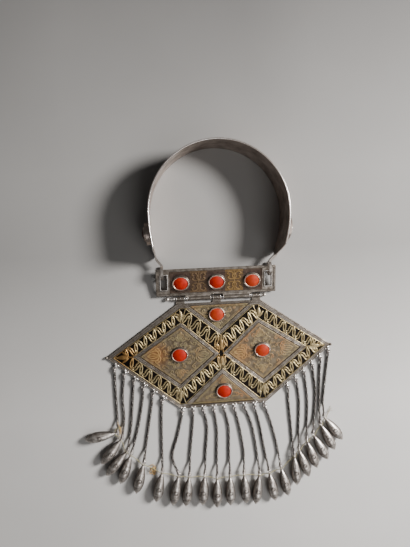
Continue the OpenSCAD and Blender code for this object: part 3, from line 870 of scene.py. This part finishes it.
def closed_line(points, z, r, flat=0.6):
    """A tube round a closed outline."""
    p = np.array([v3(x, y, z) for x, y in points + points[:1]])
    return tube(resample(p, 0.42)[:-1], r, 7, closed=True, flat=flat)


s = Shape()
rnd = random.Random(5)
for band, quad in zip(BANDS, QUADS):
    x0, y0, x1, y1, half, count, first, way = band
    for lines, q in ((band_lines(*band), quad),
                     (band_lines(-x0, y0, -x1, y1, half, count, first, -way), mirror_x(quad))):
        for line in lines:
            line = clip(line, inset(q, 0.75))
            if len(line) > 3:
                s.add(*closed_line(line, BAND_Z, 0.8, 0.45), tint=rnd.choice((0.0, 0.1, 0.25)))
        s.add(*closed_line(inset(q, 0.25), BAND_Z, 0.5), tint=0.15)


def leaves(x, y, turn, size, row):
    """A fan of three flat leaves. A row a leaf: lean from the middle, half width, share of the size."""
    for lean, wide, share in row:
        way = v3(math.cos(turn + lean), math.sin(turn + lean), 0)
        g = np.linspace(0, 1, 9)
        wide_at = wide * np.sin(np.pi * np.clip(g * 0.9 + 0.1, 0, 0.99)) ** 0.8 + 0.05
        path = v3(x, y, BAND_Z - 0.08) + g[:, None] * way * size * share
        s.add(*tube(path, wide_at, 10, flat=0.3), tint=0.15)


CORNER_ROW = ((0, 2.1, 1.0), (0.7, 1.4, 0.72), (-0.7, 1.4, 0.72))
CROSSING_ROW = ((0, 2.2, 1.0), (0.6, 1.3, 0.8), (-0.6, 1.3, 0.8))
# Leaves at the right half's corners, and their mirror images: x, y, turn, length
for x, y, turn, size in [(81.5, -0.5, 0, 11), (35, 28.8, math.pi / 2, 9.5), (37.9, -33, -math.pi / 2, 10)]:
    leaves(-x, y, math.pi - turn, size, CORNER_ROW)
    leaves(x, y, turn, size, CORNER_ROW)
for y, turn, size in ((0.5, math.pi / 2, 12), (-4.5, -math.pi / 2, 9.5)):
    leaves(0.2, y, turn, size, CROSSING_ROW)
s.make("scroll_band", "plaque", gilt_bright, "silver")

# Ribs and border wires


def resample_corners(p, step):
    """Even points along straight lines, with every corner kept."""
    out = []
    for a, b in zip(p, p[1:]):
        n = max(1, int(np.linalg.norm(b - a) / step))
        out += [a + (b - a) * k / n for k in range(n)]
    return np.array(out + [p[-1]])


def wire(points, z, r, tint=0.0, twist=0.0, step=0.6, place=np.asarray):
    """A closed wire, plain or twisted of two plies, added to the shape in hand."""
    p = [v3(x, y, z) for x, y in points]
    p = place(resample_corners(p + p[:1], step))
    s.add(*tube(p, r, 8 if twist else 6, lobes=2 if twist else 0, twist=twist), tint=tint)


BEZEL_X, BEZEL_Y = 6.75, 5.65


def oval(x, y, wider=0.0):
    """An outline round a stone's bezel."""
    return [(x + (BEZEL_X + wider) * math.cos(a), y + (BEZEL_Y + wider) * math.sin(a))
            for a in np.arange(48) * math.pi / 24]


def under_bezel(xy, x, y):
    """Which points lie under a stone's bezel."""
    return ((xy[:, 0] - x) / (BEZEL_X - 0.15)) ** 2 + ((xy[:, 1] - y) / (BEZEL_Y - 0.15)) ** 2 < 1


PLATE_STONES = {"left": (-37.1, -1.2), "right": (37.1, -1.2), "top": (-2.7, 33.2), "low": (1.3, -36)}
RIB_Z = 1.78
s = Shape()
PLATE = [(TIP_X, 0), (37.5, 44), (-37.5, 44), (-TIP_X, 0), (-LOW_X, -LOW_Y), (LOW_X, -LOW_Y)]
HEX = [(95.7, -0.2), (35.3, 40.2), (-35.3, 40.2), (-95.7, -0.2), (-38.4, -45.5), (38.4, -45.5)]
wire(inset(PLATE, 0.55), 1.72, 0.36, tint=0.1)
wire(inset(PLATE, 2.0), RIB_Z, 0.22, tint=0.35, twist=3)
for quad, off in ((RHOMB_IN, 1.7), (mirror_x(RHOMB_IN), 1.7), (TOP_IN, 1.9), (LOW_IN, 1.9)):
    wire(inset(quad, -0.4), RIB_Z, 0.26, tint=0.15)
    wire(inset(quad, -off), RIB_Z, 0.22, tint=0.3, twist=3)
for x, y in PLATE_STONES.values():
    wire(oval(x, y, 1), 1.4, 0.36, tint=0.2, twist=2.4, step=0.5)
s.make("border_wires", "plaque", silver, "silver")
s = Shape()
wire(inset(HEX, 0.5), RIB_Z, 0.3)
s.make("gilt_border", "plaque", gilt_bright, "silver")


# Engraved and gilt fields


def patch(name, corners, low, high, grid, mat, lines, keep, body="plaque", place=np.asarray):
    """A thin engraved sheet between four corners, sunk under its rim and where keep says.

    Raised lines are (path, half width, height).
    """
    a, b, c, d = [np.array(q, float) for q in corners]
    nu, nv = grid
    u, w = np.meshgrid(np.linspace(0, 1, nu), np.linspace(0, 1, nv), indexing="ij")
    xy = ((1 - u) * (1 - w))[..., None] * a + (u * (1 - w))[..., None] * b + (u * w)[..., None] * c \
        + ((1 - u) * w)[..., None] * d
    xy = xy.reshape(-1, 2)
    h = np.zeros(len(xy))
    for path, half, rise in lines:
        p = np.asarray(path, float)[:, :2]
        gap = np.full(len(xy), 1e9)
        box = (xy > p.min(0) - 1.5).all(1) & (xy < p.max(0) + 1.5).all(1)
        if not box.any():
            continue
        q = xy[box]
        best = np.full(len(q), 1e9)
        for i in range(0, len(p), 40):
            best = np.minimum(best, np.linalg.norm(q[:, None] - p[None, i:i + 40], axis=2).min(1))
        gap[box] = best
        h = np.maximum(h, rise * (1 - smooth01((gap - half) / 0.35)))
    z = low + 0.04 + (high - low - 0.04) * h
    uu, ww = u.reshape(-1), w.reshape(-1)
    z[(uu == 0) | (uu == 1) | (ww == 0) | (ww == 1) | keep(xy)] = low - 0.3
    v = place(np.column_stack([xy, z]))
    f = [(i * nv + k, (i + 1) * nv + k, (i + 1) * nv + k + 1, i * nv + k + 1)
         for i in range(nu - 1) for k in range(nv - 1)]
    e = (b - a)[0] * (d - a)[1] - (b - a)[1] * (d - a)[0]
    if e < 0:
        f = [q[::-1] for q in f]
    s = Shape()
    s.add(v, f, 1 - h)
    return s.make(name, body, mat, "silver")


LINE_STEP = 0.3


def curl(x, y, turn, size, way=1):
    """A small scroll: a stem that runs in and curls up in four fifths of a turn."""
    stem, r0, share, turns, steps = 1.6, 0.75, 0.35, 0.8, 25
    pts = []
    for k in range(steps + 1):
        t = k / steps
        if t < share:
            pts.append((-stem + stem * t / share, -r0))
        else:
            g = (t - share) / (1 - share)
            r = r0 * (1 - 0.62 * g)
            a = -math.pi / 2 + 2 * math.pi * turns * g
            pts.append((r * math.cos(a), r * math.sin(a)))
    out = turned([(px, py * way) for px, py in pts], x, y, turn, size)
    return resample([(*q, 0) for q in out], LINE_STEP)


def arc_line(points):
    return resample(bend([v3(x, y, 0) for x, y in points], 8), LINE_STEP)


def straight(a, b):
    return resample(np.array([v3(*a, 0), v3(*b, 0)]), LINE_STEP)


def border(quad, d):
    q = inset(quad, d)
    return [straight(a, b) for a, b in zip(q, q[1:] + q[:1])]


def palmette(x, y, turn, size):
    """Lines of a small palmette that opens along its turn."""
    shapes = [[(-1.5, 0), (2.1, 0)]]
    for s in (-1, 1):
        shapes += [[(-1.5, 0), (-0.4, 0.5 * s), (0.9, 0.7 * s), (2.0, 0.15 * s)],
                   [(-1.3, 0.1 * s), (-0.9, 1.1 * s), (0.1, 1.4 * s), (1.2, 1.2 * s)],
                   [(-1.4, 0.1 * s), (-1.7, 0.9 * s), (-1.2, 1.9 * s), (-0.3, 2.1 * s), (-0.2, 1.7 * s)]]
    return [arc_line(turned(shape, x, y, turn, size)) for shape in shapes]


def field_lines(cx, cy, quad, reach):
    """Petals round the stone, scrolls between them and palmettes toward the corners."""
    out = [(p, 0.22, 1) for p in border(quad, 1.3)]
    out += [(p, 0.1, 0.6) for p in border(quad, 2.3)]
    for k in range(16):
        a = 2 * math.pi * (k + 0.5) / 16
        # a row a place: radius along x, along y, turn
        petal = [(cx + rx * math.cos(a + g), cy + ry * math.sin(a + g))
                 for rx, ry, g in ((8.7, 7.6, 0), (10.4, 9.2, 0.1), (12, 10.4, 0))]
        out.append((arc_line(petal), 0.35, 0.8))
    corners = [np.array(q, float) for q in quad]
    for i, q in enumerate(corners):
        v = q - (cx, cy)
        far = np.linalg.norm(v)
        e = v / far
        turn = math.atan2(e[1], e[0])
        at = (cx, cy) + e * (far * reach)
        for p in palmette(at[0], at[1], turn, 3.0 if far > 30 else 2.0):
            out.append((p, 0.33, 1))
        nxt = corners[(i + 1) % len(corners)]
        m = (q + nxt) / 2
        for k, g in enumerate((0.26, 0.5, 0.74)):
            edge = q + (nxt - q) * g
            w = (np.array((cx, cy)) - edge)
            at = edge + w * (0.24 if k != 1 else 0.2)
            d = math.atan2((nxt - q)[1], (nxt - q)[0])
            out.append((curl(at[0], at[1], d, 2.3, 1 if k % 2 else -1), 0.32, 0.9))
            at2 = edge + w * 0.47
            out.append((curl(at2[0], at2[1], d + 0.8, 1.7, -1 if k % 2 else 1), 0.28, 0.8))
    return out


field_gilt, n, l, p, c = material("field_gilt", 0.75, 0.5)
t = tint(n)
warm = noise(n, l, c, 45, 3)
rub = noise(n, l, c, 420, 4)
ground = ramp(n, l, rub, [(0.35, (0.12, 0.09, 0.058)), (0.65, (0.21, 0.165, 0.11))])
lines_colour = ramp(n, l, warm, [(0.38, (0.3, 0.25, 0.13)), (0.52, (0.33, 0.23, 0.11)),
                                 (0.66, (0.38, 0.19, 0.08))])
raised = math_node(n, l, "SUBTRACT", 1.0, t)
worn = math_node(n, l, "MULTIPLY", raised, span(n, l, rub, 0.3, 0.6, 0.5, 1.0))
# painted orange light at the left end of each rhomb, weaker in the right one
right_end = math_node(n, l, "MULTIPLY", near(n, l, c, 17, -3, 13), 0.6)
glow = math_node(n, l, "MAXIMUM", near(n, l, c, -57, -0.5, 13), right_end)
orange = mix(n, l, raised, (0.3, 0.13, 0.04), (0.55, 0.3, 0.1))
l.new(mix(n, l, math_node(n, l, "MULTIPLY", glow, 0.75), mix(n, l, worn, ground, lines_colour), orange),
      p.inputs["Base Color"])
l.new(span(n, l, rub, 0.35, 0.65, 0.4, 0.56), p.inputs["Roughness"])
bump(n, l, p, noise(n, l, c, 1600, 4), 0.00012, 0.5)

FIELD_LOW, FIELD_HIGH = 1.24, 1.42
for side, quad in (("right", RHOMB_IN), ("left", mirror_x(RHOMB_IN))):
    cx, cy = PLATE_STONES[side]
    patch("field_" + side, inset(quad, 0.05), FIELD_LOW, FIELD_HIGH, (150, 150), field_gilt,
          field_lines(cx, cy, quad, 0.62), lambda xy: under_bezel(xy, cx, cy))
for side, tri, flip in (("top", TOP_IN, 1), ("low", LOW_IN, -1)):
    cx, cy = PLATE_STONES[side]
    a, b, far = [np.array(q) for q in inset(tri, 0.05)]
    lines = [(q, 0.22, 1) for q in border(tri, 1.2)]
    lines += [(q, 0.1, 0.6) for q in border(tri, 2.2)]
    for sx in (-1, 1):
        for dx, dy, size, way in ((11.5, 3.5, 2.4, 1), (15.5, 5.4, 1.9, -1), (10.2, -1.8, 1.7, -1)):
            scroll = curl(cx + sx * dx, cy + flip * dy, 0 if sx > 0 else math.pi, size, way * sx)
            lines.append((scroll, 0.32, 0.9))
    lines += [(q, 0.3, 0.9) for q in palmette(cx, cy - flip * 9.3, -flip * math.pi / 2, 1.3)]
    for k in range(14):
        g = 2 * math.pi * (k + 0.5) / 14
        lines.append((straight((cx + 8.6 * math.cos(g), cy + 7.5 * math.sin(g)),
                               (cx + 10.3 * math.cos(g), cy + 9 * math.sin(g))), 0.3, 0.7))
    patch("field_" + side, [a, b, far + (0.05, 0), far - (0.05, 0)], FIELD_LOW, FIELD_HIGH, (140, 90),
          field_gilt, lines, lambda xy: under_bezel(xy, cx, cy))

# The bar's engraving, in the bar's own frame


def on_bar(v):
    """Points of the bar's own frame, tilted about the hinge."""
    c, t = math.cos(TILT), math.sin(TILT)
    x, y, z = v.T
    return np.column_stack([x, HINGE_Y + y * c - z * t, HINGE_Z + y * t + z * c])


def oblong(x, half, low, high):
    return [(x - half, low), (x + half, low), (x + half, high), (x - half, high)]


BAR_MID, BAR_STONE_PITCH = 14.2, 31.4
BAR_STONES = [BAR_X + BAR_STONE_PITCH * k for k in (-1, 0, 1)]
PANEL = BAR_STONE_PITCH / 2
bar_field = oblong(BAR_X, 41.2, 5.2, 24.8)
lines = [(q, 0.2, 1) for q in border(bar_field, 0.8)]
lines += [(q, 0.1, 0.7) for q in border(bar_field, 1.8)]
# A quarter of the scrolls between two stones: half width, then places off the panel's middle
PANEL_LINES = [
    (0.3, [(0, 1.6), (1.6, 3.4), (1.2, 6.4), (4, 8), (6, 6.2), (4.4, 5.4)]),
    (0.28, [(0, 1.6), (3, 1.2), (5.6, 2.6), (4.2, 3.8)]),
]
for x in (BAR_X - PANEL, BAR_X + PANEL):
    for s1 in (-1, 1):
        for s2 in (-1, 1):
            lines += [(arc_line([(x + s1 * dx, BAR_MID + 0.6 + s2 * dy) for dx, dy in line]), half, 1)
                      for half, line in PANEL_LINES]
    lines.append((arc_line([(x, BAR_MID - 7.6), (x, BAR_MID + 8.8)]), 0.25, 0.9))
for sx in (-1, 1):
    for sy in (-1, 1):
        lines.append((curl(BAR_X + sx * 25.2, BAR_MID + sy * 7.6, math.pi * (sx < 0), 1.7, sy), 0.25, 0.6))
        lines.append((curl(BAR_X + sx * 39, BAR_MID + sy * 7.4, math.pi * (sx > 0), 1.5, sy), 0.25, 0.6))


def bar_keep(xy):
    return np.any([under_bezel(xy, x, BAR_MID) for x in BAR_STONES], axis=0)


bar_gilt, n, l, p, c = material("bar_gilt", 0.75, 0.46)
t = tint(n)
x = axes(n, l, c)[0]
rub = noise(n, l, c, 420, 4)
ground = ramp(n, l, rub, [(0.35, (0.042, 0.027, 0.021)), (0.65, (0.08, 0.05, 0.038))])
# two gilt panels between the three stones, the left one more worn
left = math_node(n, l, "COMPARE", x, (BAR_X - PANEL + PLACE[0]) * MM, 7.4 * MM)
right = math_node(n, l, "COMPARE", x, (BAR_X + PANEL + PLACE[0]) * MM, 8.0 * MM)
panel = math_node(n, l, "MAXIMUM", math_node(n, l, "MULTIPLY", left, 0.4), right)
gold = ramp(n, l, rub, [(0.3, (0.17, 0.095, 0.03)), (0.65, (0.32, 0.2, 0.075))])
dull = ramp(n, l, rub, [(0.35, (0.08, 0.052, 0.038)), (0.65, (0.12, 0.082, 0.06))])
strokes = mix(n, l, panel, dull, gold)
floor_tone = mix(n, l, math_node(n, l, "MULTIPLY", panel, 0.3), ground, (0.22, 0.13, 0.045))
l.new(mix(n, l, math_node(n, l, "SUBTRACT", 1.0, t), floor_tone, strokes), p.inputs["Base Color"])
bump(n, l, p, noise(n, l, c, 1600, 4), 0.00012, 0.5)
patch("bar_engraving", bar_field, 0.64, 0.84, (300, 80), bar_gilt, lines, bar_keep, "bar", on_bar)

s = Shape()
bar_edge = oblong(BAR_X, 52.75, 3.2, BAR_FAR)
wire(inset(bar_edge, 0.45), 1.14, 0.33, 0.1, place=on_bar)
wire(inset(bar_edge, 1.55), 1.14, 0.25, 0.25, 3, place=on_bar)
for x in BAR_STONES:
    wire(oval(x, BAR_MID, 1), 0.8, 0.36, 0.15, 2.4, 0.5, on_bar)
s.make("bar_wires", "bar", silver, "silver")
s = Shape()
for x in (BAR_X - 45.9, BAR_X + 45.9):
    wire(oblong(x, 3.15, 8.25, 22.15), 1.5, 0.42, place=on_bar)
s.make("slot_rims", "bar", bright_silver, "silver")
s = Shape()
for x in BAR_STONES:
    wire(oval(x, BAR_MID), 2.7, 0.52, step=0.5, place=on_bar)
s.make("bar_bezel_rims", "bar", bezel_copper, "silver")
# Bright worn rings at the ends of the hinge's barrels
s = Shape()
for x in (-38.1, -30.9, -5.5, 1.3, 30, 36.7):
    s.add(*ring(v3(x, HINGE_Y, HINGE_Z), v3(1, 0, 0), 1.8, 0.3, 24, 8))
for x in (-34.5, -2.1, 33.4):
    s.add(*ring(v3(x, HINGE_Y, HINGE_Z), v3(1, 0, 0), 1.82, 0.22, 24, 8), tint=0.7)
s.make("plate_barrel_rings", "plaque", bright_silver, "silver")
s = Shape()
for x, r in ((-29.5, 2.0), (-28.0, 2.0), (-7.7, 1.8), (3.7, 1.8), (27.1, 2.0), (28.6, 2.0)):
    s.add(*ring(v3(x, HINGE_Y, HINGE_Z), v3(1, 0, 0), r, 0.3, 24, 8))
s.make("bar_barrel_rings", "bar", bright_silver, "silver")
s = Shape()
for x, y in PLATE_STONES.values():
    wire(oval(x, y), 3.3, 0.52, step=0.5)
s.make("bezel_rims", "plaque", bezel_copper, "silver")

# The collar's upper rim wire and the rings on its side plaques
COLLAR_X, COLLAR_Y, COLLAR_R, COLLAR_H = 0.2, 121.6, 58.7, 32
TONGUE_Z, TONGUE_HALF, TONGUE_END_Y = RAIL_Z + 2.4, 1.9, 82
PLAQUE_Y = 106
# A row a side: way, angle of the long curve, its radius
SIDES = [(-1, 13.05, 166.52), (1, 23.15, 95.64)]


def band_top(y):
    """Height of the band's upper edge, which drops to the tongue toward the bar."""
    t = TONGUE_Z + TONGUE_HALF
    return t + (COLLAR_H - t) * smooth01((y - TONGUE_END_Y) / 12)


def band_low(y):
    """Height of the band's lower edge."""
    return (TONGUE_Z - TONGUE_HALF) * (1 - smooth01((y - TONGUE_END_Y) / 5))


def collar_line(radial, edge):
    """Along the band from its left end to its right end, off its outer face by -radial."""
    out = []
    for side, angle, r in SIDES:
        mid = COLLAR_X + side * (COLLAR_R - r)
        part = []
        for k in range(41):
            a = math.radians(angle) * (1 - k / 40)
            y = COLLAR_Y - r * math.sin(a)
            part.append((mid + side * (r - radial) * math.cos(a), COLLAR_Y - (r - radial) * math.sin(a),
                         edge(y)))
        out.append(part)
    r = COLLAR_R - radial
    arch = [(COLLAR_X + r * math.cos(a), COLLAR_Y + r * math.sin(a), edge(COLLAR_Y))
            for a in math.pi * (1 - np.arange(91) / 90)]
    return np.array(out[0] + arch[1:-1] + out[1][::-1])


s = Shape()
s.add(*tube(collar_line(0.6, lambda y: band_top(y) - 0.5), 0.64, 10))
s.make("collar_rim", "collar", bright_silver, "silver")
s = Shape()
s.add(*tube(collar_line(0.6, lambda y: band_low(y) + 0.55), 0.7, 8), tint=0.7)
for side, _, r in SIDES:
    mid = COLLAR_X + side * (COLLAR_R - r)
    a = math.asin((COLLAR_Y - PLAQUE_Y) / r)
    out_way = v3(side * math.cos(a), -math.sin(a), 0)
    at = v3(mid, COLLAR_Y, COLLAR_H / 2) + r * out_way
    tangent = v3(-out_way[1], out_way[0], 0)
    # a row a ring: lift, radius, wire, tint; the left plaque is painted dark, as shade
    for lift, rr, w, tone in ((3.4, 9.3, 0.42, 0.1), (3.45, 7.6, 0.3, 0.3), (5.0, 5.85, 0.36, 0.0)):
        s.add(*ring(at + out_way * lift, out_way, rr, w, 48, 8), tint=0.9 if side < 0 else tone)
    # the left plaque's grains are painted dark as shade too
    for k in range(18):
        b = 2 * math.pi * k / 18
        q = at + out_way * 3.55 + 8.45 * (math.cos(b) * tangent + math.sin(b) * v3(0, 0, 1))
        s.add(*dome(q, out_way, 0.45, 0.4, 8, 2), tint=0.9 if side < 0 else 0.1)
s.make("collar_plaque_rings", "collar", bright_silver, "silver")
